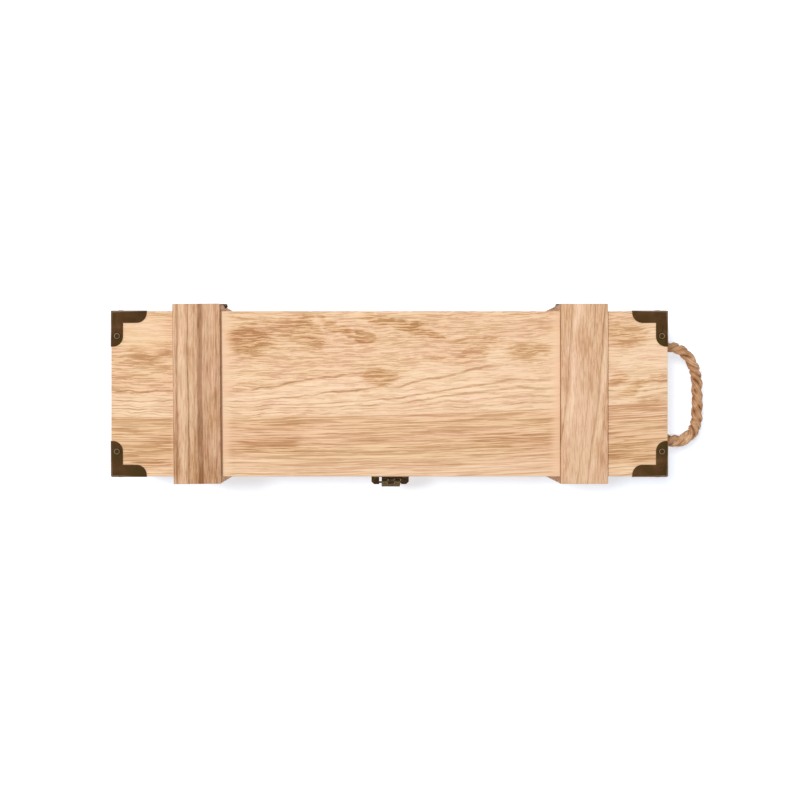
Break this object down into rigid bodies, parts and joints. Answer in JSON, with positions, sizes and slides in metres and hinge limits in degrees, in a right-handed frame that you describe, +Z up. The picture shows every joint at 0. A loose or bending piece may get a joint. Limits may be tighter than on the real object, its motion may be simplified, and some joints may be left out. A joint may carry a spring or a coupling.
{
  "type": "wooden wine box",
  "caption": "Long hinged wooden box for a wine bottle, with battens all round, metal corners, a front hasp and a rope handle at one end.",
  "frame": {"origin": "middle of the footprint, on the surface that the box stands on", "axes": "+X along the box towards the end with the rope handle, -Y the front with the hasp, +Y the rear with the hinges, +Z up"},
  "size_m": [0.3851, 0.1189, 0.114],
  "materials": {
    "board_wood": "brushed and lightly scorched softwood, waxed matt",
    "batten_wood": "brushed and scorched softwood strip, matt",
    "antique_bronze": "dark antiqued plating, worn lighter on the edges",
    "pin_steel": "dull wire",
    "jute_rope": "three strand twisted jute, hairy and matt"
  },
  "bodies": {
    "case": {"floor_panel": "board_wood", "front_wall": "board_wood", "rear_wall": "board_wood", "left_end_wall": "board_wood", "right_end_wall": "board_wood", "left_skid": "batten_wood", "right_skid": "batten_wood", "case_front_left_batten": "batten_wood", "case_front_right_batten": "batten_wood", "case_rear_left_batten": "batten_wood", "case_rear_right_batten": "batten_wood", "base_corner_front_left": "antique_bronze", "base_corner_front_right": "antique_bronze", "base_corner_rear_left": "antique_bronze", "base_corner_rear_right": "antique_bronze", "base_corner_nails": "antique_bronze", "floor_pins": "pin_steel", "wall_pins": "pin_steel", "left_hinge_case_leaf": "antique_bronze", "right_hinge_case_leaf": "antique_bronze", "left_hinge_pin": "antique_bronze", "right_hinge_pin": "antique_bronze", "case_hinge_tacks": "antique_bronze", "catch_plate": "antique_bronze", "lock_staple": "antique_bronze", "catch_plate_tacks": "antique_bronze", "rope_knot_front": "jute_rope", "rope_knot_rear": "jute_rope"},
    "lid": {"lid_panel": "board_wood", "lid_front_rail": "board_wood", "lid_rear_rail": "board_wood", "lid_left_rail": "board_wood", "lid_right_rail": "board_wood", "lid_left_batten": "batten_wood", "lid_right_batten": "batten_wood", "lid_front_left_batten": "batten_wood", "lid_front_right_batten": "batten_wood", "lid_rear_left_batten": "batten_wood", "lid_rear_right_batten": "batten_wood", "lid_corner_front_left": "antique_bronze", "lid_corner_front_right": "antique_bronze", "lid_corner_rear_left": "antique_bronze", "lid_corner_rear_right": "antique_bronze", "lid_corner_nails": "antique_bronze", "lid_pins": "pin_steel", "left_hinge_lid_leaf": "antique_bronze", "right_hinge_lid_leaf": "antique_bronze", "lid_hinge_tacks": "antique_bronze", "hasp_plate": "antique_bronze", "hasp_plate_tacks": "antique_bronze", "hasp_pin": "antique_bronze"},
    "hasp": {"hasp_arm": "antique_bronze"},
    "handle": {"rope_loop": "jute_rope"}
  },
  "joints": [
    {"name": "lid_open", "type": "hinge", "parent": "case", "child": "lid", "pos_m": [0, 0.0567, 0.0795], "axis": [-1, 0, 0], "range_deg": [0, 140]},
    {"name": "hasp_swing", "type": "hinge", "parent": "lid", "child": "hasp", "pos_m": [0.00125, -0.0568, 0.0845], "axis": [-1, 0, 0], "range_deg": [-16, 175]},
    {"name": "handle_swing", "type": "hinge", "parent": "case", "child": "handle", "pos_m": [0.17905, 0, 0.052], "axis": [0, -1, 0], "range_deg": [-45, 60]}
  ]
}
